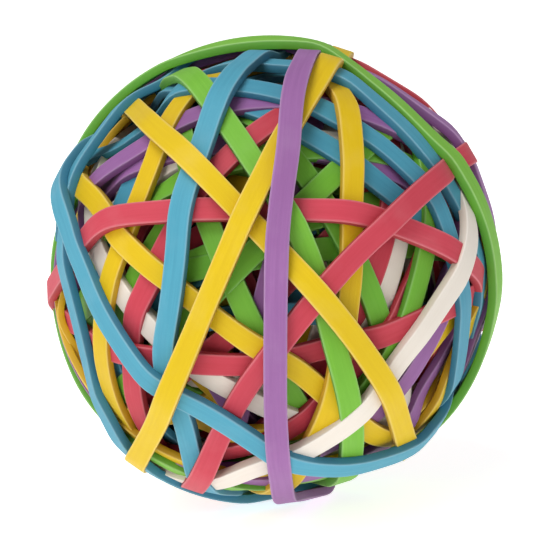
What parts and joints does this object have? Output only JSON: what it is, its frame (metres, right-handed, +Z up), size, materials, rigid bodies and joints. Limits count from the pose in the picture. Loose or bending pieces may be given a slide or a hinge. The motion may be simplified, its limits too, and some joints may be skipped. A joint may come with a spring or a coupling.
{
  "type": "rubber band ball",
  "caption": "Ball of flat rubber bands in mixed colours, stretched one over another in every direction round a tightly wound heart.",
  "frame": {"origin": "under the middle of the ball's outline, at the level of the surface it lies on", "axes": "+Z up from the surface, +Y away from the side shown in front, +X to the right as seen from the front"},
  "size_m": [0.064, 0.0622, 0.0672],
  "materials": {
    "rubber_yellow": "matte cut rubber, yellow, faintly streaked along the band",
    "rubber_blue": "matte cut rubber, blue, faintly streaked along the band",
    "rubber_green": "matte cut rubber, green, faintly streaked along the band",
    "rubber_red": "matte cut rubber, red, faintly streaked along the band",
    "rubber_purple": "matte cut rubber, purple, faintly streaked along the band",
    "rubber_white": "matte cut rubber, white, faintly streaked along the band",
    "rubber_heart": "tightly wound rubber of mixed colours, in deep shade"
  },
  "bodies": {
    "root": {"wound_heart": "rubber_heart", "band_deep_green_slant": "rubber_green", "band_deep_red_slant": "rubber_red", "band_deep_blue_tilt": "rubber_blue", "band_deep_green_cross": "rubber_green", "band_deep_white_back": "rubber_white", "band_deep_purple_back": "rubber_purple", "band_deep_blue_level": "rubber_blue", "band_deep_white_steep": "rubber_white", "band_deep_green_rear": "rubber_green", "band_red_inner_ring": "rubber_red", "band_red_inner_top": "rubber_red", "band_green_shelf": "rubber_green", "band_green_slip": "rubber_green", "band_purple_inner": "rubber_purple", "band_white_left": "rubber_white", "band_white_inner_right": "rubber_white", "band_red_inner_right": "rubber_red", "band_green_inner_left": "rubber_green", "band_white_upper_left": "rubber_white", "band_blue_far_ring": "rubber_blue", "band_purple_under_shoulder": "rubber_purple", "band_green_upper_bar": "rubber_green", "band_green_short_right": "rubber_green", "band_green_inner_slant": "rubber_green", "band_green_high_right": "rubber_green", "band_white_low_arc": "rubber_white", "band_white_low_right": "rubber_white", "band_yellow_low_arc": "rubber_yellow", "band_red_low_left": "rubber_red", "band_blue_rear_tilt": "rubber_blue", "band_red_upper_arc": "rubber_red", "band_purple_shoulder": "rubber_purple", "band_green_right_arc": "rubber_green", "band_purple_low_right": "rubber_purple", "band_red_level": "rubber_red", "band_yellow_left_arc": "rubber_yellow", "band_blue_left_limb": "rubber_blue", "band_yellow_left_limb": "rubber_yellow", "band_yellow_bottom_limb": "rubber_yellow", "band_purple_bottom_limb": "rubber_purple", "band_yellow_slant": "rubber_yellow", "band_yellow_right_limb": "rubber_yellow", "band_blue_inner_shoulder": "rubber_blue", "band_green_bottom_limb": "rubber_green", "band_yellow_upright": "rubber_yellow", "band_red_high_arc": "rubber_red", "band_blue_shoulder": "rubber_blue", "band_green_slant": "rubber_green", "band_white_right_arc": "rubber_white", "band_red_rear_ring": "rubber_red", "band_blue_upright": "rubber_blue", "band_purple_right_limb": "rubber_purple", "band_red_slant": "rubber_red", "band_yellow_cross_falling": "rubber_yellow", "band_blue_left_ring": "rubber_blue", "band_blue_low_sweep": "rubber_blue", "band_yellow_cross_rising": "rubber_yellow", "band_purple_upright": "rubber_purple", "band_green_outer_ring": "rubber_green"}
  },
  "joints": []
}
